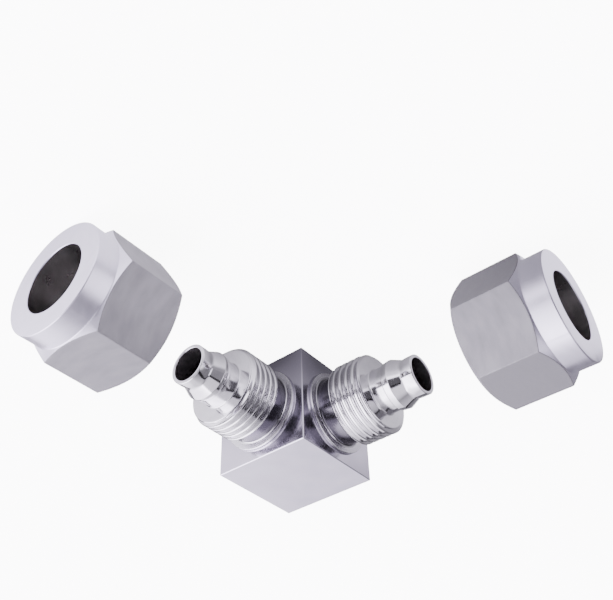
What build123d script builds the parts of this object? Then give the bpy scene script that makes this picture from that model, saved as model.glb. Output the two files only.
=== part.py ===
"""Elbow union for push-on tube: a square block with two barbed nipples at a right angle, and two union nuts.

Frame: millimetres, +Z up. The block stands on z = 0 with its middle over the origin. One nipple points
along +X and the other along +Y, and each nut is drawn off along its own nipple's axis.
"""

import os
from math import cos, radians, tan

from build123d import *

# Lip at the tip of each nipple, which the tube is pushed over
lip_radius = 3.5
lip_wall = 0.6
lip_bevel = 0.2
lip_rim_bevel = 0.2
lip_land = 1.2
lip_swell = 0.1
lip_swell_length = 0.8

# Barb behind the lip, with a conical flare in front that spreads the tube, and a small step behind
barb_height = 0.8
barb_flare_length = 2.0
barb_band_length = 1.15
barb_back_drop = 0.15
barb_back_slope = 0.15
barb_step = 0.25

# Neck between the barb and the front face of the thread
neck_length = 2.3

# Male thread, M14 with a pitch of 1.25, drawn as the plain cylinder of its crests
thread_major_radius = 7.0
thread_pitch = 1.25
thread_length = 5.7
thread_rear_chamfer = 0.4
thread_front_chamfer = 0.55

# Relief groove behind the thread, and the round pad that it ends on
relief_depth = 1.1
relief_length = 2.9
relief_bevel = 0.45
pad_overhang = 0.25
pad_height = 0.5

# Square block
block_margin = 1.75
block_edge_break = 0.3

# Union nut: hexagon with a round collar in front
nut_wall = 2.5
nut_collar_step = 0.23
nut_collar_length = 3.75
nut_collar_bevel = 0.3
nut_rear_step = 0.4
nut_cone_angle = 30.0
nut_hole_length = 6.1
nut_hole_bevel = 0.25
nut_lead_in = 0.45

# Clearances between a nut and its nipple
tube_room = 1.35
thread_clearance = 0.2
nut_seat_gap = 0.6
nut_shoulder_gap = 0.75

# How far each nut stands drawn off its seat, as whole turns of the thread
turns_drawn_off = 22

# Bores, drilled from both lips until they meet
drill_point_angle = 118.0

# Radii of the nipple
bore_radius = lip_radius - lip_wall
lip_waist_radius = lip_radius - lip_swell
barb_crest_radius = lip_radius + barb_height
barb_back_radius = barb_crest_radius - barb_back_drop
neck_radius = barb_back_radius - barb_step
thread_face_radius = thread_major_radius - thread_front_chamfer
relief_radius = thread_major_radius - relief_depth
pad_radius = thread_major_radius + pad_overhang

# Places along the nipple's axis, measured from the middle of the block
block_side = 2 * (pad_radius + block_margin)
axis_height = block_side / 2
pad_face = block_side / 2 + pad_height
thread_start = pad_face + relief_length
thread_end = thread_start + thread_length
thread_face = thread_end + thread_front_chamfer
barb_back = thread_face + neck_length
barb_rim = barb_back + barb_back_slope
barb_crest = barb_rim + barb_band_length
flare_end = barb_crest + barb_flare_length
lip_start = flare_end + lip_swell_length
nipple_tip = lip_start + lip_land + lip_rim_bevel
drill_point = bore_radius / tan(radians(drill_point_angle / 2))

# Sizes of the nut, and where its rear face stands
nut_across_flats = 2 * (thread_major_radius + nut_wall)
nut_corner_radius = nut_across_flats / 2 / cos(radians(30))
nut_collar_radius = nut_across_flats / 2 - nut_collar_step
nut_rear_radius = nut_across_flats / 2 - nut_rear_step
nut_hole_radius = barb_crest_radius + tube_room
nut_bore_radius = thread_major_radius + thread_clearance
nut_seat = pad_face + nut_seat_gap
nut_bore_length = thread_face + nut_shoulder_gap - nut_seat
nut_length = nut_bore_length + nut_hole_length
nut_rear = nut_seat + thread_pitch * turns_drawn_off

centre = Vector(0, 0, axis_height)
right_direction = Vector(1, 0, 0)
left_direction = Vector(0, 1, 0)


def half_section(direction):
    """Plane through a nipple's axis: local x runs out along the nipple and local y straight up."""
    return Plane(origin=centre, x_dir=direction, z_dir=direction.cross(Vector(0, 0, 1)))


def across(direction, distance):
    """Plane square to a nipple's axis at a distance from the middle of the block, facing outwards."""
    return Plane(origin=centre + direction * distance, x_dir=Vector(0, 0, 1).cross(direction), z_dir=direction)


# The elbow body is milled and turned from one bar
with BuildPart() as elbow_body:
    with Locations(centre):
        Box(block_side, block_side, block_side)
    chamfer(elbow_body.edges(), block_edge_break)

    for direction in (right_direction, left_direction):
        with BuildSketch(half_section(direction)):
            with BuildLine():
                # pad, relief groove and thread
                Polyline(
                    (0, 0),
                    (0, pad_radius),
                    (pad_face, pad_radius),
                    (pad_face, relief_radius + relief_bevel),
                    (pad_face + relief_bevel, relief_radius),
                    (thread_start, relief_radius),
                    (thread_start, thread_major_radius - thread_rear_chamfer),
                    (thread_start + thread_rear_chamfer, thread_major_radius),
                    (thread_end, thread_major_radius),
                    (thread_face, thread_face_radius),
                )
                # front face, neck, step, band and flare of the barb, then the lip with a bevelled rim
                Polyline(
                    (thread_face, thread_face_radius),
                    (thread_face, neck_radius),
                    (barb_back, neck_radius),
                    (barb_rim, barb_back_radius),
                    (barb_crest, barb_crest_radius),
                    (flare_end, lip_waist_radius),
                    (lip_start, lip_radius),
                    (nipple_tip - lip_rim_bevel, lip_radius),
                    (nipple_tip, lip_radius - lip_rim_bevel),
                    (nipple_tip, 0),
                    (0, 0),
                )
            make_face()
        revolve(axis=Axis(centre, direction))

    # each bore is drilled in from its lip until the full diameter reaches the other bore's axis
    for direction in (right_direction, left_direction):
        with BuildSketch(half_section(direction)):
            with BuildLine():
                Polyline(
                    (-drill_point, 0),
                    (0, bore_radius),
                    (nipple_tip - lip_bevel, bore_radius),
                    (nipple_tip, bore_radius + lip_bevel),
                    (nipple_tip, 0),
                    close=True,
                )
            make_face()
        revolve(axis=Axis(centre, direction), mode=Mode.SUBTRACT)


def make_nut(direction):
    """One union nut on a nipple's axis, with its collar outwards and two of its flats level."""
    cone = tan(radians(nut_cone_angle))
    nut_front = nut_rear + nut_length
    collar_start = nut_front - nut_collar_length
    with BuildPart() as nut:
        with BuildSketch(across(direction, nut_rear)):
            RegularPolygon(radius=nut_across_flats / 2, side_count=6, major_radius=False)
        extrude(amount=nut_length)

        # turning leaves a cone behind the corners, a cone in front of them and the collar
        with BuildSketch(half_section(direction)):
            with BuildLine():
                Polyline(
                    (nut_rear, 0),
                    (nut_rear, nut_rear_radius),
                    (nut_rear + (nut_corner_radius - nut_rear_radius) * cone, nut_corner_radius),
                    (collar_start - (nut_corner_radius - nut_collar_radius) * cone, nut_corner_radius),
                    (collar_start, nut_collar_radius),
                    (nut_front - nut_collar_bevel, nut_collar_radius),
                    (nut_front, nut_collar_radius - nut_collar_bevel),
                    (nut_front, 0),
                    close=True,
                )
            make_face()
        revolve(axis=Axis(centre, direction), mode=Mode.INTERSECT)

        # hole for the tube from the front, bore for the thread from the rear
        with Locations(across(direction, nut_front)):
            CounterSinkHole(
                radius=nut_hole_radius,
                counter_sink_radius=nut_hole_radius + nut_hole_bevel,
                depth=nut_length,
                counter_sink_angle=90,
            )
        with Locations(across(-direction, -nut_rear)):
            CounterSinkHole(
                radius=nut_bore_radius,
                counter_sink_radius=nut_bore_radius + nut_lead_in,
                depth=nut_bore_length,
                counter_sink_angle=90,
            )
    return nut


right_nut = make_nut(right_direction)
left_nut = make_nut(left_direction)

elbow_body.part.label = "elbow_body"
right_nut.part.label = "right_nut"
left_nut.part.label = "left_nut"

os.makedirs("parts", exist_ok=True)
export_step(elbow_body.part, "parts/elbow_body.step")
export_step(right_nut.part, "parts/right_nut.step")
export_step(left_nut.part, "parts/left_nut.step")
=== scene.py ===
"""Elbow union in bright stainless steel: a milled block, two turned nipples and two nuts on a pale floor."""
import math

import bmesh
import bpy
import numpy as np
from mathutils import Matrix, Vector


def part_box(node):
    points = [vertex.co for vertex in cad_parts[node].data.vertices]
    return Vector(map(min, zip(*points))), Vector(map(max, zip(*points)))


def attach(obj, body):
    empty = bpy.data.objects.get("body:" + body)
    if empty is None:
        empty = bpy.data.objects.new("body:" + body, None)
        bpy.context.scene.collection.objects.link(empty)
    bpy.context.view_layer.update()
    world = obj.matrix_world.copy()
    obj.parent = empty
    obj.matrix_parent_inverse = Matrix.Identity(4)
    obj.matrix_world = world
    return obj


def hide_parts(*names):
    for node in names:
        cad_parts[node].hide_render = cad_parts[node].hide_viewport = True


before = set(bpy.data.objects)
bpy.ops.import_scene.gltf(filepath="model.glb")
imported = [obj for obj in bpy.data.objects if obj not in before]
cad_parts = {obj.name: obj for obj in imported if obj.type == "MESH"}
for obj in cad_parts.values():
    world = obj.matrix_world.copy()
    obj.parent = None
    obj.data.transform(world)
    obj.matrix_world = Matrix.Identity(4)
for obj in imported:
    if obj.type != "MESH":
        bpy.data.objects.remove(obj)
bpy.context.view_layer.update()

# One millimetre in the scene's metres
mm = 0.001

# Places that the frame gives, in millimetres
body_low, body_high = (np.array(corner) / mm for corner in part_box("elbow_body"))
nut_low, nut_high = (np.array(corner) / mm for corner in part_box("right_nut"))
block_half = -body_low[0]
nipple_tip = body_high[0]
nut_rear = nut_low[0]
nut_front = nut_high[0]
nut_flat = (nut_high[2] - nut_low[2]) / 2
floor_height = min(body_low[2], nut_low[2])

# Block: its rounded edges and corners, and the drill that cuts its two bores
block_edge_radius = 0.18
block_edge_points = 5
block_face_points = 9
drill_point = 1.74
drill_overrun = 1.0
drill_columns = 64

# Nipple, from the pad on the block to the lip
nipple_columns = 256
bore_radius = 2.9
pad_radius = 7.25
pad_height = 0.5
foot_depth = 0.2
relief_radius = 5.9
relief_fillet = 0.5
relief_length = 2.9
lip_radius = 3.5
lip_waist_radius = 3.4
lip_length = 1.4
lip_swell_length = 0.8
barb_crest_radius = 4.3
barb_back_radius = 4.15
barb_flare_length = 2.0
barb_band_length = 1.15
barb_back_length = 0.15
neck_radius = 3.9
neck_length = 2.3
neck_fillet = 0.3

# Thread, M14 with a pitch of 1.25
thread_pitch = 1.25
thread_crest_radius = 7.0
thread_root_radius = 6.22
thread_valley = 0.1
thread_flank = 0.62
thread_straight_share = 0.55
thread_rear_radius = 6.6
thread_foot_drop = 0.04
thread_clearance = 0.15
thread_rows_a_turn = 24

# Front face of the thread, and how far each row of its rounded rim lies below its top and behind the face
thread_face_radius = 6.45
thread_flat_radius = 5.95
thread_rim = 0.08
thread_rim_drops = np.array([0.03, 0.07, 0.13, 0.22])
thread_rim_backs = np.array([0.05, 0.022, 0.005, 0.0])

# Union nut, with extra columns at these degrees from each of its corners
nut_columns = 240
nut_corner_steps = (-0.9, -0.66, -0.33, 0.33, 0.66, 0.9)
nut_rows_a_turn = 20
nut_corner_round = 0.25
nut_collar_radius = 9.27
nut_collar_length = 3.75
nut_rear_radius = 9.1
nut_hole_radius = 5.65
nut_hole_length = 6.1
nut_bore_radius = 7.2
nut_runout_length = 0.5
nut_lead_in = 0.45
nut_cone_slope = math.tan(math.radians(30))

# Finishes: how near a row lies to a surface that it belongs to
on_surface = 0.02
# Painted shade in the grooves: the darker groove steel climbs this far up the relief's fillet, and takes
# this share of a turn's rows
groove_painted_shade_height = 0.2
groove_painted_shade_valley_share = 0.2
# Drawn bar shows down to this far below a nut's corners
nut_flat_margin = 0.12
# The bored steel, darker as painted shade, reaches this far past the bore's radius, and stops this far from
# a nut's front
nut_inside_margin = 0.3
nut_front_margin = 0.2

# Rounded corners of a profile: the steps along each, and the most that one takes of the sides beside it
ease_steps = 4
ease_share = 0.45
# Width of the rounding where a thread meets a cone
cone_rounding = 0.02

# In metres: points this close are merged and edges this short taken out, less finely after the bores are cut
merge_distance = 2e-7
shortest_edge = 1e-8
cut_merge_distance = 2e-6
cut_shortest_edge = 1e-6

# Places along a nipple's axis, from the middle of the block
pad_face = block_half + pad_height
thread_start = pad_face + relief_length
lip_start = nipple_tip - lip_length
flare_end = lip_start - lip_swell_length
barb_crest = flare_end - barb_flare_length
barb_rim = barb_crest - barb_band_length
barb_back = barb_rim - barb_back_length
thread_face = barb_back - neck_length

# Each arm of the elbow: the direction out along it, and the one square to it and level
arms = {
    "right": (np.array([1.0, 0.0, 0.0]), np.array([0.0, 1.0, 0.0])),
    "left": (np.array([0.0, 1.0, 0.0]), np.array([-1.0, 0.0, 0.0])),
}
upward = np.array([0.0, 0.0, 1.0])
centre = np.array([0.0, 0.0, block_half])


# Shapes


def linear(hex_colour):
    """An sRGB hex colour as linear red, green, blue and alpha."""
    parts = np.array([int(hex_colour[i:i + 2], 16) for i in (1, 3, 5)]) / 255
    parts = np.where(parts <= 0.04045, parts / 12.92, ((parts + 0.055) / 1.055) ** 2.4)
    return (*(float(part) for part in parts), 1.0)


def round_the_axis(steps, extra=()):
    """Angles from 0 to a full turn in even steps, with the extra angles put in between."""
    even = np.linspace(0, 2 * math.pi, steps + 1)
    return np.unique(np.round(np.concatenate([even, np.asarray(extra, float)]), 9))


def turned_profile(corners, angles):
    """Rows of (place along the axis, radius) at every angle, with the corners rounded.

    A corner is (place, radius, ease), and its place and radius may change with the angle. Each inner corner
    B between A and C becomes the curve (1-t)^2 (B + a) + 2 t (1-t) B + t^2 (B + c), where a and c are steps
    of length ease from B towards A and towards C, or shorter where the sides are short.
    """
    spots = np.stack([
        np.stack([np.broadcast_to(place, angles.shape), np.broadcast_to(radius, angles.shape)], axis=-1)
        for place, radius, _ in corners
    ])
    rows = [spots[0]]
    for k in range(1, len(spots) - 1):
        before = spots[k - 1] - spots[k]
        after = spots[k + 1] - spots[k]
        before_length = np.linalg.norm(before, axis=-1, keepdims=True)
        after_length = np.linalg.norm(after, axis=-1, keepdims=True)
        ease = min(corners[k][2], ease_share * before_length.min(), ease_share * after_length.min())
        before = before / before_length * ease
        after = after / after_length * ease
        for t in np.linspace(0, 1, ease_steps + 1) if ease > 0 else (0.0,):
            rows.append(spots[k] + (1 - t) ** 2 * before + t**2 * after)
    rows.append(spots[-1])
    return np.stack(rows)


def thread_wave(along, angles):
    """Radius of the thread at a place along the axis: a rounded trapezium wave that climbs one pitch a turn.

    Its height is 0 over the valley and 1 at the crest. Up the flank f it is a mix of f and f^2 (3 - 2 f).
    The valley and the flank are shares of half a pitch.
    """
    phase = ((along - thread_start) / thread_pitch - angles / (2 * math.pi)) % 1.0
    distance = np.abs(phase - 0.5) * 2
    flank = np.clip((distance - thread_valley) / thread_flank, 0, 1)
    smooth = flank * flank * (3 - 2 * flank)
    height = thread_straight_share * flank + (1 - thread_straight_share) * smooth
    return thread_root_radius + (thread_crest_radius - thread_root_radius) * height


def soft_least(first, second):
    """The lesser of two radii, the corner between them rounded: -w log(e^(-first/w) + e^(-second/w))."""
    return -cone_rounding * np.logaddexp(-first / cone_rounding, -second / cone_rounding)


def along_the_helix(low, high, angles, rows_a_turn):
    """Places along the axis for rows that climb with the thread, clipped to the zone that it fills."""
    turns = (high - low) / thread_pitch
    rows = np.arange(-rows_a_turn, math.ceil(turns * rows_a_turn) + 1)
    climb = angles / (2 * math.pi)
    return np.clip(low + thread_pitch * (rows[:, None] / rows_a_turn + climb[None, :]), low, high)


def path_length(profile):
    """How far each point lies along its own column of the profile, in millimetres."""
    steps = np.linalg.norm(np.diff(profile, axis=0), axis=-1)
    return np.concatenate([np.zeros((1, profile.shape[1])), np.cumsum(steps, axis=0)])


def carried_round(profile, angles, arm):
    """Points of a profile carried round an arm's axis: centre + out place + (side cos + up sin) radius."""
    out, side = arms[arm]
    ring = side[None, :] * np.cos(angles)[:, None] + upward[None, :] * np.sin(angles)[:, None]
    return centre + profile[..., 0:1] * out + profile[..., 1:2] * ring[None]


def dress(mesh, materials):
    """Gives a mesh smooth shading and its materials."""
    mesh.polygons.foreach_set("use_smooth", np.ones(len(mesh.polygons), bool))
    for material in materials:
        mesh.materials.append(material)


def grid_mesh(name, points, marks, zones, materials, closed=True):
    """A mesh from a grid of points in millimetres, one quad for each cell, with its doubles merged.

    marks gives each point's place in the UV map: the arc round the axis and the path along the profile, in
    millimetres. zones gives the material number of each row of cells.
    """
    rows, columns = points.shape[:2]
    mesh = bpy.data.meshes.new(name)
    index = np.arange(rows * columns).reshape(rows, columns)
    quads = np.stack([index[:-1, :-1], index[:-1, 1:], index[1:, 1:], index[1:, :-1]], axis=-1)
    quads = quads.reshape(-1, 4)
    mesh.vertices.add(rows * columns)
    mesh.vertices.foreach_set("co", (points * mm).reshape(-1))
    mesh.loops.add(quads.size)
    mesh.loops.foreach_set("vertex_index", quads.reshape(-1))
    mesh.polygons.add(len(quads))
    mesh.polygons.foreach_set("loop_start", np.arange(0, quads.size, 4))
    mesh.polygons.foreach_set("loop_total", np.full(len(quads), 4))
    mesh.polygons.foreach_set("material_index", np.repeat(zones, columns - 1).astype(np.int32))
    uv = mesh.uv_layers.new(name="marks")
    uv.data.foreach_set("uv", marks.reshape(-1, 2)[quads.reshape(-1)].reshape(-1))
    mesh.update()
    mesh.validate()
    shape = bmesh.new()
    shape.from_mesh(mesh)
    bmesh.ops.remove_doubles(shape, verts=shape.verts, dist=merge_distance)
    bmesh.ops.dissolve_degenerate(shape, edges=shape.edges, dist=shortest_edge)
    if closed:
        bmesh.ops.recalc_face_normals(shape, faces=shape.faces)
    shape.to_mesh(mesh)
    shape.free()
    dress(mesh, materials)
    return mesh


def stand(name, mesh):
    """An object of that mesh, at the origin of the scene."""
    thing = bpy.data.objects.new(name, mesh)
    bpy.context.scene.collection.objects.link(thing)
    return thing


def stand_piece(name, mesh):
    """A piece of the union: an object whose corners are shaded by the size of the faces that meet there."""
    piece = stand(name, mesh)
    weighted = piece.modifiers.new("face weighted normals", "WEIGHTED_NORMAL")
    weighted.keep_sharp = False
    return piece


# Materials


def socket(sockets, name):
    """The socket of that number, or the one of that name that the node's settings leave in use."""
    if isinstance(name, int):
        return sockets[name]
    return next(found for found in sockets if found.name == name and found.enabled)


def add(tree, kind, values=None, links=None, stops=(), **settings):
    """Adds one node, gives it its settings and values, and links its inputs to other nodes' outputs.

    The stops are a colour ramp's, each (place, colour).
    """
    node = tree.nodes.new(kind)
    for name, value in settings.items():
        setattr(node, name, value)
    for name, value in (values or {}).items():
        socket(node.inputs, name).default_value = value
    for name, (source, output) in (links or {}).items():
        tree.links.new(socket(source.outputs, output), socket(node.inputs, name))
    if stops:
        shades = node.color_ramp.elements
        while len(shades) < len(stops):
            shades.new(0.5)
        for shade, (place, colour) in zip(shades, stops):
            shade.position = place
            shade.color = colour
    return node


def grey(value):
    """A grey of that value, as red, green, blue and alpha."""
    return (value, value, value, 1.0)


def lit(value):
    """Light of that strength in the studio's faint lavender."""
    return (*(float(part) * value for part in linear("#F5F0FF")[:3]), 1.0)


def empty_material(name):
    """A new material whose node tree is empty, and that tree."""
    material = bpy.data.materials.new(name)
    material.use_nodes = True
    material.node_tree.nodes.clear()
    return material, material.node_tree


def gloss_range(roughness):
    """Values that spread a roughness over a noise, from a tenth less to an eighth more."""
    return {"From Min": 0.3, "From Max": 0.7, "To Min": roughness * 0.9, "To Max": roughness * 1.12}


def turned_steel(name, colour, darker, roughness, spacing, depth, drawn=False):
    """Stainless steel off the lathe: bright, with fine rings that follow the tool's path.

    The rings are noise along the path of the profile alone, so they run round every cylinder, cone and face.
    On drawn bar the noise runs across it instead, which makes fine lines along the bar. A slower cloud
    varies the colour and the gloss by a little, as handling and cutting oil do. Spacing and depth are in
    millimetres, and the spacing is a little coarser than a real tool's, so that the rings show.
    """
    material, tree = empty_material(name)
    place = add(tree, "ShaderNodeUVMap", uv_map="marks")
    lengthwise = 0.02
    scale = (1 / spacing, lengthwise, 1) if drawn else (lengthwise, 1 / spacing, 1)
    stretch = add(tree, "ShaderNodeMapping", {"Scale": scale}, {"Vector": (place, "UV")})
    rings = add(tree, "ShaderNodeTexNoise", {"Scale": 1.0, "Detail": 2.0}, {"Vector": (stretch, "Vector")})
    spread = add(tree, "ShaderNodeMapping", {"Scale": (0.25, 0.6, 1)}, {"Vector": (place, "UV")})
    cloud = add(tree, "ShaderNodeTexNoise", {"Scale": 1.0, "Detail": 3.0}, {"Vector": (spread, "Vector")})
    tint = add(
        tree,
        "ShaderNodeValToRGB",
        links={"Fac": (cloud, "Fac")},
        stops=[(0.3, linear(darker)), (0.65, linear(colour))],
    )
    gloss = add(tree, "ShaderNodeMapRange", gloss_range(roughness), {"Value": (cloud, "Fac")})
    bump = add(tree, "ShaderNodeBump", {"Strength": 1.0, "Distance": depth * mm}, {"Height": (rings, "Fac")})
    steel = add(
        tree,
        "ShaderNodeBsdfPrincipled",
        {"Metallic": 1.0},
        {"Base Color": (tint, "Color"), "Roughness": (gloss, "Result"), "Normal": (bump, "Normal")},
    )
    add(tree, "ShaderNodeOutputMaterial", links={"Surface": (steel, "BSDF")})
    return material


def milled_steel(name, colour, darker, roughness, wave_size, wave_depth, grain_size, grain_depth):
    """Stainless steel milled flat and polished: a clean mirror, a little uneven, with short fine scratches.

    Two noises on Object coordinates: a slow wave bends the reflections, and a fine grain stretched upwards
    is what the polishing left. Sizes and depths are in millimetres.
    """
    material, tree = empty_material(name)
    place = add(tree, "ShaderNodeTexCoord")
    wave = add(
        tree,
        "ShaderNodeTexNoise",
        {"Scale": 1 / (wave_size * mm), "Detail": 1.0},
        {"Vector": (place, "Object")},
    )
    stretch = add(tree, "ShaderNodeMapping", {"Scale": (1, 1, 0.08)}, {"Vector": (place, "Object")})
    grain = add(
        tree,
        "ShaderNodeTexNoise",
        {"Scale": 1 / (grain_size * mm), "Detail": 4.0},
        {"Vector": (stretch, "Vector")},
    )
    tint = add(
        tree,
        "ShaderNodeValToRGB",
        links={"Fac": (wave, "Fac")},
        stops=[(0.35, linear(darker)), (0.65, linear(colour))],
    )
    gloss = add(tree, "ShaderNodeMapRange", gloss_range(roughness), {"Value": (grain, "Fac")})
    slow = add(
        tree,
        "ShaderNodeBump",
        {"Strength": 1.0, "Distance": wave_depth * mm},
        {"Height": (wave, "Fac")},
    )
    bump = add(
        tree,
        "ShaderNodeBump",
        {"Strength": 1.0, "Distance": grain_depth * mm},
        {"Height": (grain, "Fac"), "Normal": (slow, "Normal")},
    )
    steel = add(
        tree,
        "ShaderNodeBsdfPrincipled",
        {"Metallic": 1.0},
        {"Base Color": (tint, "Color"), "Roughness": (gloss, "Result"), "Normal": (bump, "Normal")},
    )
    add(tree, "ShaderNodeOutputMaterial", links={"Surface": (steel, "BSDF")})
    return material


def glowing_card(name, colour, strength):
    """White card under a lamp, for the stage alone: it gives off even light of one colour."""
    material, tree = empty_material(name)
    glow = add(tree, "ShaderNodeEmission", {"Color": colour, "Strength": strength})
    add(tree, "ShaderNodeOutputMaterial", links={"Surface": (glow, "Emission")})
    return material


# Bright turned stainless: what the nipples show outside
nipple_steel = turned_steel(
    "bright_turned_stainless", "#E5E4E6", "#DBD9DD", roughness=0.12, spacing=0.12, depth=0.0006
)
# Drilled stainless: duller from the drill, and darker as painted shade, so the bores stay nearly black
drilled_painted_shade_steel = turned_steel(
    "drilled_painted_shade_stainless", "#A5A1A2", "#A09C9D", roughness=0.35, spacing=0.3, depth=0.001
)
# Grooved stainless: the relief and the thread's valleys, a little duller, and darker as painted shade in
# these hollows
groove_painted_shade_steel = turned_steel(
    "groove_painted_shade_stainless", "#6C6970", "#605D65", roughness=0.18, spacing=0.12, depth=0.0012
)
# Faced stainless: the pads on the block, left satin by the facing tool
faced_steel = turned_steel(
    "faced_stainless", "#F2F0F4", "#E4E1E8", roughness=0.4, spacing=0.16, depth=0.002
)
# Milled and polished stainless: the block's mirror-like faces
block_steel = milled_steel(
    "milled_polished_stainless", "#E0DBE8", "#D8D3E0", roughness=0.16,
    wave_size=5, wave_depth=0.003, grain_size=0.6, grain_depth=0.0006,
)
# Satin turned stainless: the nuts' collars, cones and end faces
nut_turned_steel = turned_steel(
    "satin_turned_stainless", "#DCD8E5", "#D6D2E0", roughness=0.33, spacing=0.3, depth=0.0008
)
# Drawn hexagon bar: the nuts' flats, greyer and duller than what the lathe has cut
nut_flat_steel = turned_steel(
    "drawn_bar_stainless", "#9B999D", "#99979B", roughness=0.7, spacing=0.25, depth=0.0006, drawn=True
)
# Inside of the nuts: bored, darker as painted shade in the hole, with the crests of the thread catching the
# light
nut_inside_painted_shade_steel = turned_steel(
    "bored_painted_shade_stainless", "#A3A09F", "#9F9C9B", roughness=0.3, spacing=0.3, depth=0.0006
)


# Elbow body: block, then a nipple on each arm


def block_grid(side):
    """One face of a rounded cube as a grid: core + edge radius times the direction from core to cube.

    The core is the cube's point drawn in to the nearest point of an inner cube.
    """
    inner = block_half - block_edge_radius
    bend = inner + block_edge_radius * np.tan(np.linspace(0, math.pi / 4, block_edge_points))
    flat = np.linspace(-inner, inner, block_face_points)[1:-1]
    place = np.concatenate([-bend[::-1], flat, bend])
    first, second = np.meshgrid(place, place, indexing="ij")
    face = np.full_like(first, block_half)
    cube = np.stack([face, first, second], axis=-1)
    order = [side % 3, (side + 1) % 3, (side + 2) % 3]
    cube = cube[..., np.argsort(order)]
    if side >= 3:
        cube[..., side % 3] *= -1
    core = np.clip(cube, -inner, inner)
    away = cube - core
    away = away / np.linalg.norm(away, axis=-1, keepdims=True)
    return core + block_edge_radius * away + centre


def make_block():
    """The block: six faces of a rounded cube merged into one skin, and two bores cut to their crossing."""
    # The second steel, darker as painted shade, lines the bores that the drill cuts
    steels = [block_steel, drilled_painted_shade_steel]
    shape = bmesh.new()
    for side in range(6):
        grid = block_grid(side)
        face = grid_mesh("block_face", grid, grid[..., :2], np.zeros(len(grid) - 1), [], closed=False)
        shape.from_mesh(face)
    bmesh.ops.remove_doubles(shape, verts=shape.verts, dist=merge_distance)
    bmesh.ops.recalc_face_normals(shape, faces=shape.faces)
    skin = bpy.data.meshes.new("block_skin")
    shape.to_mesh(skin)
    shape.free()
    dress(skin, steels)
    undrilled = stand("undrilled_block", skin)

    angles = round_the_axis(drill_columns)
    drill_end = block_half + drill_overrun
    drill = turned_profile(
        [(-drill_point, 0, 0), (0, bore_radius, 0), (drill_end, bore_radius, 0), (drill_end, 0, 0)], angles
    )
    cutters = []
    for arm in arms:
        points = carried_round(drill, angles, arm)
        cutter = stand(arm, grid_mesh("drill", points, points[..., :2], np.ones(len(drill) - 1), steels))
        cut = undrilled.modifiers.new(arm, "BOOLEAN")
        cut.operation = "DIFFERENCE"
        cut.solver = "EXACT"
        cut.object = cutter
        cutters.append(cutter)
    depsgraph = bpy.context.evaluated_depsgraph_get()
    drilled = bpy.data.meshes.new_from_object(undrilled.evaluated_get(depsgraph))
    for thing in (undrilled, *cutters):
        bpy.data.objects.remove(thing)

    shape = bmesh.new()
    shape.from_mesh(drilled)
    bmesh.ops.remove_doubles(shape, verts=shape.verts, dist=cut_merge_distance)
    bmesh.ops.dissolve_degenerate(shape, edges=shape.edges, dist=cut_shortest_edge)
    bmesh.ops.triangulate(shape, faces=shape.faces)
    shape.to_mesh(drilled)
    shape.free()
    return stand_piece("elbow_block", drilled)


def make_nipple(arm):
    """One nipple: a closed skin from the pad, over the thread, barb and lip, and back down the bore.

    The thread's rows climb with the helix, so its crests stay clean lines, and the other rows are rings.
    """
    angles = round_the_axis(nipple_columns)
    sunk = block_half - foot_depth
    foot = turned_profile(
        [
            (sunk, bore_radius, 0),
            (sunk, pad_radius, 0),
            (pad_face, pad_radius, 0.12),
            (pad_face, relief_radius, relief_fillet),
            (thread_start, relief_radius, 0.1),
            (thread_start, thread_root_radius - thread_foot_drop, 0),
        ],
        angles,
    )
    places = along_the_helix(thread_start, thread_face - thread_rim, angles, thread_rows_a_turn)
    front_cone = thread_face_radius + (thread_face - places)
    rear_cone = thread_rear_radius + (places - thread_start)
    radius = soft_least(soft_least(thread_wave(places, angles), front_cone), rear_cone)
    thread = np.stack([places, radius], axis=-1)
    rim_top = thread_face_radius + thread_rim - thread_rim_drops[:, None]
    rim_radius = np.minimum(rim_top, radius[-1][None, :] - thread_rim_drops[:, None])
    rim_place = np.broadcast_to((thread_face - thread_rim_backs)[:, None], rim_radius.shape)
    rim = np.stack([rim_place, rim_radius], axis=-1)
    front = turned_profile(
        [
            (thread_face, thread_flat_radius, 0),
            (thread_face, neck_radius, neck_fillet),
            (barb_back, neck_radius, 0.03),
            (barb_rim, barb_back_radius, 0.04),
            (barb_crest, barb_crest_radius, 0.1),
            (flare_end, lip_waist_radius, 0.3),
            (lip_start, lip_radius, 0.35),
            (nipple_tip, lip_radius, 0.18),
            (nipple_tip, bore_radius, 0.15),
            (thread_start, bore_radius, 0),
            (sunk, bore_radius, 0),
        ],
        angles,
    )
    profile = np.concatenate([foot, thread, rim, front])
    path = path_length(profile)
    marks = np.stack([np.broadcast_to(angles * pad_radius, path.shape), path], axis=-1)

    place, radius = profile[:, 0, 0], profile[:, 0, 1]
    drilled, faced, groove_painted_shade = 1, 2, 3
    zones = np.zeros(len(profile) - 1, int)
    # Painted shade: the rows down the bore take the darker drilled steel
    in_bore = radius < bore_radius + on_surface
    zones[in_bore[:-1] & in_bore[1:]] = drilled
    on_pad = np.abs(place - pad_face) < on_surface
    zones[on_pad[:-1] & on_pad[1:]] = faced
    # Painted shade: the relief and the thread's valleys take the darker groove steel
    in_relief = ~in_bore & (place > pad_face) & (place < thread_start)
    in_relief &= radius < relief_radius + groove_painted_shade_height
    zones[in_relief[:-1]] = groove_painted_shade
    turned_rows = np.arange(len(thread) - 1)
    in_valley = np.abs((turned_rows + 0.5) / thread_rows_a_turn % 1.0 - 0.5) < groove_painted_shade_valley_share / 2
    zones[len(foot):len(foot) + len(turned_rows)][in_valley] = groove_painted_shade

    name = f"{arm}_nipple"
    points = carried_round(profile, angles, arm)
    materials = [nipple_steel, drilled_painted_shade_steel, faced_steel, groove_painted_shade_steel]
    return stand_piece(name, grid_mesh(name, points, marks, zones, materials))


# Union nuts


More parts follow.
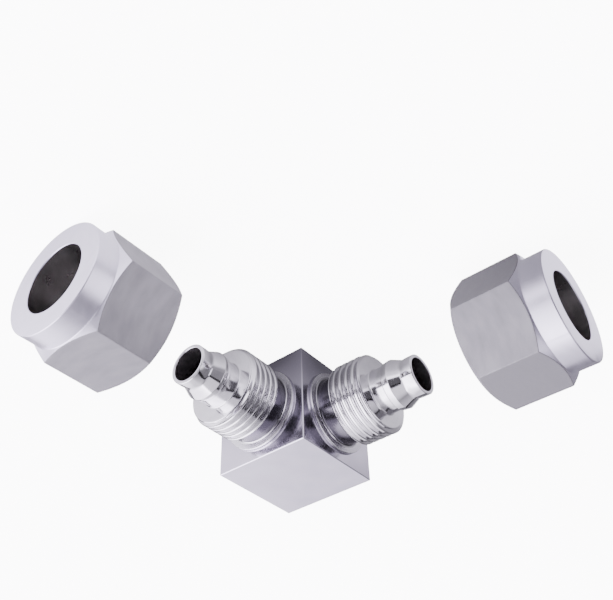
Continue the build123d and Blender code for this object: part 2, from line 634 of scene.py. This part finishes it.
def hexagon(angles):
    """Distance from the axis to the hexagon with rounded corners: flat / cos(angle to the flat's middle).

    Near a corner it is c cos a + sqrt(r^2 - (c sin a)^2), where a is the angle off the corner, r the radius
    of the corner's circle and c how far out that circle's middle lies.
    """
    off_flat = (angles + math.pi / 6 - math.pi / 2) % (math.pi / 3) - math.pi / 6
    off_corner = math.pi / 6 - np.abs(off_flat)
    circle_centre = (nut_flat - nut_corner_round) / math.cos(math.pi / 6)
    under_root = np.maximum(nut_corner_round**2 - (circle_centre * np.sin(off_corner)) ** 2, 0)
    circle = circle_centre * np.cos(off_corner) + np.sqrt(under_root)
    tangent_aside = nut_corner_round * math.sin(math.pi / 6)
    tangent_out = circle_centre + nut_corner_round * math.cos(math.pi / 6)
    return np.where(off_corner < math.atan2(tangent_aside, tangent_out), circle, nut_flat / np.cos(off_flat))


def make_nut(arm):
    """One union nut: a closed skin over the hexagon, the collar, the hole and the threaded bore.

    The profile is worked out at each angle, because the turned cones meet the hexagon higher at its corners.
    """
    corners = math.pi / 3 * np.arange(7)
    near = np.concatenate([corners + step for step in np.radians(nut_corner_steps)])
    angles = round_the_axis(nut_columns, near[(near > 0) & (near < 2 * math.pi)])
    reach = hexagon(angles)
    collar_start = nut_front - nut_collar_length
    shoulder = nut_front - nut_hole_length
    runout = shoulder - nut_runout_length
    outside = turned_profile(
        [
            (nut_rear, nut_bore_radius + nut_lead_in, 0),
            (nut_rear, nut_rear_radius, 0.12),
            (nut_rear + (reach - nut_rear_radius) * nut_cone_slope, reach, 0.1),
            (collar_start - (reach - nut_collar_radius) * nut_cone_slope, reach, 0.1),
            (collar_start, nut_collar_radius, 0.2),
            (nut_front, nut_collar_radius, 0.22),
            (nut_front, nut_hole_radius, 0.2),
            (shoulder, nut_hole_radius, 0.1),
            (shoulder, nut_bore_radius, 0.05),
            (runout, nut_bore_radius, 0),
        ],
        angles,
    )
    places = along_the_helix(nut_rear, runout, angles, nut_rows_a_turn)[::-1]
    lead_in = nut_bore_radius + nut_lead_in - (places - nut_rear)
    radius = -soft_least(-thread_wave(places, angles) - thread_clearance, -lead_in)
    thread = np.stack([places, radius], axis=-1)
    profile = np.concatenate([outside, thread])
    path = path_length(profile)
    marks = np.stack([np.broadcast_to(angles * nut_flat, path.shape), path], axis=-1)

    place, radius = profile[:, 0, 0], profile[:, 0, 1]
    drawn, bored = 1, 2
    zones = np.zeros(len(profile) - 1, int)
    on_flat = radius > reach.max() - nut_flat_margin
    zones[on_flat[:-1] & on_flat[1:]] = drawn
    # Painted shade: the hole and the threaded bore take the darker bored steel
    inner = radius < nut_bore_radius + nut_inside_margin
    behind = place < nut_front - nut_front_margin
    zones[inner[:-1] & inner[1:] & (behind[:-1] | behind[1:])] = bored
    zones[len(outside):] = bored

    name = f"{arm}_union_nut"
    points = carried_round(profile, angles, arm)
    materials = [nut_turned_steel, nut_flat_steel, nut_inside_painted_shade_steel]
    return stand_piece(name, grid_mesh(name, points, marks, zones, materials))


block = make_block()
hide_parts("elbow_body")
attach(block, "elbow")
for arm in arms:
    nipple = make_nipple(arm)
    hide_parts("elbow_body")
    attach(nipple, "elbow")
    nut = make_nut(arm)
    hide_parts(f"{arm}_nut")
    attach(nut, f"{arm}_nut")


# Floor, light and camera


def make_plane(name, height, half_side, material):
    """A level square of the stage, with its corners half a side from the origin along X and along Y."""
    corners = [(-1, -1), (1, -1), (1, 1), (-1, 1)]
    mesh = bpy.data.meshes.new(name)
    mesh.from_pydata([(x * half_side, y * half_side, height * mm) for x, y in corners], [], [(0, 1, 2, 3)])
    mesh.materials.append(material)
    plane = stand(name, mesh)
    return plane


def make_dome(name, radius, material):
    """A round tent over the floor: points at radius (cos a cos b, sin a cos b, sin b) in metres."""
    just_below_level = -0.05
    rises = np.linspace(just_below_level, math.pi / 2, 17)
    turn, rise = np.meshgrid(np.linspace(0, 2 * math.pi, 65), rises, indexing="xy")
    points = np.stack([np.cos(turn) * np.cos(rise), np.sin(turn) * np.cos(rise), np.sin(rise)], axis=-1)
    points = radius / mm * points
    zones = np.zeros(len(points) - 1)
    dome = stand(name, grid_mesh(name, points, points[..., :2], zones, [material], closed=False))
    return dome


def hide_from(thing, *rays):
    """Keeps a thing of the stage out of sight of those kinds of ray."""
    for ray in rays:
        setattr(thing, f"visible_{ray}", False)


def room_shades(stops, shade, scale):
    """A ramp's shades by direction: at (degrees + 180) / 360, the shade of value / scale."""
    return [((degrees + 180) / 360, shade(value / scale)) for degrees, value in stops]


# Matt white sheet that the union stands on
paper, tree = empty_material("white_sheet")
sheet = add(
    tree,
    "ShaderNodeBsdfPrincipled",
    {
        "Base Color": linear("#F4F4F4"),
        "Roughness": 0.9,
        "Emission Color": grey(1.0),
        "Emission Strength": 9.0,
    },
)
add(tree, "ShaderNodeOutputMaterial", links={"Surface": (sheet, "BSDF")})
floor = make_plane("floor", height=floor_height, half_side=3.0, material=paper)
hide_from(floor, "glossy")

# Pale backdrop, a round tent that only the camera sees, so that the sheet seems to run on for ever
backdrop_paper = glowing_card("pale_backdrop", linear("#FFFFFF"), strength=12.0)
backdrop = make_dome("backdrop", radius=2.9, material=backdrop_paper)
hide_from(backdrop, "glossy", "diffuse", "shadow")

# What the steel reflects of the table: a glowing sheet with the part's shadow painted dark under the part,
# lighter further out, and the window's light painted brightest on its side
table_strength = 10.0
table_reach = 100 * mm
# Each stop is (share of the reach, brightness)
window_stops = [(0.11, 0.15), (0.14, 0.28), (0.19, 0.5), (0.24, 1.1), (0.34, 2.0), (0.5, 2.4), (0.8, 4.0)]
room_stops = [(0.11, 0.15), (0.14, 0.28), (0.19, 0.5), (0.24, 0.75), (0.34, 1.3), (0.5, 0.65), (0.8, 0.5)]
table_painted_shadow_glow, tree = empty_material("table_painted_shadow_in_reflections")
place = add(tree, "ShaderNodeTexCoord")
distance = add(tree, "ShaderNodeVectorMath", links={0: (place, "Object")}, operation="LENGTH")
distance = add(tree, "ShaderNodeMapRange", {"From Max": table_reach}, {"Value": (distance, "Value")})
window_side = add(
    tree,
    "ShaderNodeValToRGB",
    links={"Fac": (distance, "Result")},
    stops=[(stop, lit(value / table_strength)) for stop, value in window_stops],
)
room_side = add(
    tree,
    "ShaderNodeValToRGB",
    links={"Fac": (distance, "Result")},
    stops=[(stop, lit(value / table_strength)) for stop, value in room_stops],
)
heading = add(tree, "ShaderNodeVectorMath", links={0: (place, "Object")}, operation="NORMALIZE")
to_window = add(
    tree,
    "ShaderNodeVectorMath",
    {1: (-0.1, 1, 0)},
    {0: (heading, "Vector")},
    operation="DOT_PRODUCT",
)
share = add(tree, "ShaderNodeMapRange", {"From Min": 0.4, "From Max": 0.8}, {"Value": (to_window, "Value")})
shade = add(
    tree,
    "ShaderNodeMix",
    links={"Factor": (share, "Result"), "A": (room_side, "Color"), "B": (window_side, "Color")},
    data_type="RGBA",
)
glow = add(tree, "ShaderNodeEmission", {"Strength": table_strength}, {"Color": (shade, "Result")})
add(tree, "ShaderNodeOutputMaterial", links={"Surface": (glow, "Emission")})
reflected_table = make_plane(
    "table_painted_shadow_in_reflections", height=floor_height - 0.2, half_side=0.6, material=table_painted_shadow_glow
)
hide_from(reflected_table, "camera", "diffuse", "shadow")

# White card beyond the right nut, seen in its ring
white_card = glowing_card("white_card", lit(1.0), strength=2.6)
reflected_card = make_plane(
    "white_card_in_reflections", height=floor_height - 0.1, half_side=0.016, material=white_card
)
reflected_card.location = (0.0575, -0.0115, 0)
hide_from(reflected_card, "camera", "diffuse", "shadow")

# Smaller white card standing beside the left nut, seen in its middle flat
side_card = glowing_card("side_card", lit(1.0), strength=3.4)
standing_card = make_plane("side_card_in_reflections", height=0.0, half_side=0.008, material=side_card)
standing_card.rotation_euler = (math.radians(90), 0, math.radians(63))
standing_card.location = (0.022, 0.0385, 0.017)
hide_from(standing_card, "camera", "diffuse", "shadow")

# Soft light that changes round the room, from a window on one side to a dim wall on the other
studio_strength = 10.0
# Above and below the edge that runs round the room: each stop is (degrees from +X towards +Y, brightness)
above_stops = [
    (-180, 5), (-150, 3.6), (-140, 3.0), (-128, 1.85), (-112, 1.8), (-92, 1.1), (-72, 0.75), (-50, 0.45),
    (-25, 1.0), (30, 1.6), (90, 1.8), (104, 2.5), (114, 7), (144, 9), (180, 5),
]
below_stops = [
    (-180, 3), (-137, 3), (-130, 1.5), (-122, 0.3), (-34, 0.28), (-27, 2.6), (-12, 2.6), (-4, 0.5),
    (28, 0.15), (90, 0.15), (104, 1.5), (114, 3), (180, 3),
]
# Where the edge lies, as 1 + the sine of its height: 1 is level with the part, and 2 is straight above it
edge_scale = 2
edge_stops = [
    (-180, 0.98), (-144, 1.0), (-130, 1.05), (-117, 1.34), (-92, 1.4), (-80, 1.52), (-66, 1.67), (-50, 1.7),
    (0, 1.6), (60, 1.6), (90, 1.35), (104, 1.16), (118, 1.14), (144, 1.05), (180, 0.95),
]
world = bpy.data.worlds.new("studio")
bpy.context.scene.world = world
world.use_nodes = True
tree = world.node_tree
tree.nodes.clear()
place = add(tree, "ShaderNodeTexCoord")
parts = add(tree, "ShaderNodeSeparateXYZ", links={"Vector": (place, "Generated")})
azimuth = add(tree, "ShaderNodeMath", links={0: (parts, "Y"), 1: (parts, "X")}, operation="ARCTAN2")
azimuth = add(
    tree,
    "ShaderNodeMapRange",
    {"From Min": -math.pi, "From Max": math.pi},
    {"Value": (azimuth, "Value")},
)
by_azimuth = {"Fac": (azimuth, "Result")}
above = add(
    tree, "ShaderNodeValToRGB", links=by_azimuth, stops=room_shades(above_stops, lit, studio_strength)
)
below = add(
    tree, "ShaderNodeValToRGB", links=by_azimuth, stops=room_shades(below_stops, lit, studio_strength)
)
edge = add(tree, "ShaderNodeValToRGB", links=by_azimuth, stops=room_shades(edge_stops, grey, edge_scale))
edge_height = add(tree, "ShaderNodeMapRange", {"To Min": -1.0, "To Max": 1.0}, {"Value": (edge, "Color")})
over_edge = add(
    tree,
    "ShaderNodeMath",
    links={0: (parts, "Z"), 1: (edge_height, "Result")},
    operation="SUBTRACT",
)
rise = add(tree, "ShaderNodeMapRange", {"From Min": 0.04, "From Max": 0.07}, {"Value": (over_edge, "Value")})
wall = add(
    tree,
    "ShaderNodeMix",
    links={"Factor": (rise, "Result"), "A": (below, "Color"), "B": (above, "Color")},
    data_type="RGBA",
)
# Dark gap just under and over the edge, which the polished steel shows as its dark lines
near_edge = add(
    tree,
    "ShaderNodeMapRange",
    {"From Min": -0.5, "From Max": 0.5},
    {"Value": (over_edge, "Value")},
)
gap = add(
    tree,
    "ShaderNodeValToRGB",
    links={"Fac": (near_edge, "Result")},
    stops=[(0.435, grey(1.0)), (0.45, grey(0.01)), (0.56, grey(0.01)), (0.575, grey(1.0))],
)
light = add(
    tree,
    "ShaderNodeMix",
    {"Factor": 1.0},
    {"A": (wall, "Result"), "B": (gap, "Color")},
    data_type="RGBA",
    blend_type="MULTIPLY",
)
background = add(tree, "ShaderNodeBackground", {"Strength": studio_strength}, {"Color": (light, "Result")})
add(tree, "ShaderNodeOutputWorld", links={"Surface": (background, "Background")})

# Camera: it looks down at the inside corner, turned upside down as the photograph is. Lengths in millimetres
camera_azimuth = math.radians(52.38)
camera_elevation = math.radians(40.40)
camera_roll = math.radians(178.13)
camera_distance = 160.0
camera_aside = -2.03
camera_below = 23.04
camera_lens = 53.97
camera_sensor = 36.0

towards = np.array([
    -math.cos(camera_elevation) * math.cos(camera_azimuth),
    -math.cos(camera_elevation) * math.sin(camera_azimuth),
    -math.sin(camera_elevation),
])
level = np.cross(towards, upward)
level = level / np.linalg.norm(level)
over = np.cross(level, towards)
image_right = level * math.cos(camera_roll) + over * math.sin(camera_roll)
image_up = np.cross(image_right, towards)
place = centre - image_right * camera_aside + image_up * camera_below - towards * camera_distance
camera_data = bpy.data.cameras.new("camera")
camera_data.lens = camera_lens
camera_data.sensor_width = camera_sensor
camera_data.sensor_fit = "HORIZONTAL"
camera_data.clip_start = 5 * mm
camera = bpy.data.objects.new("camera", camera_data)
turn = Matrix([Vector(image_right), Vector(image_up), Vector(-towards)]).transposed()
camera.matrix_world = Matrix.Translation(Vector(place * mm)) @ turn.to_4x4()
bpy.context.scene.collection.objects.link(camera)
bpy.context.scene.camera = camera
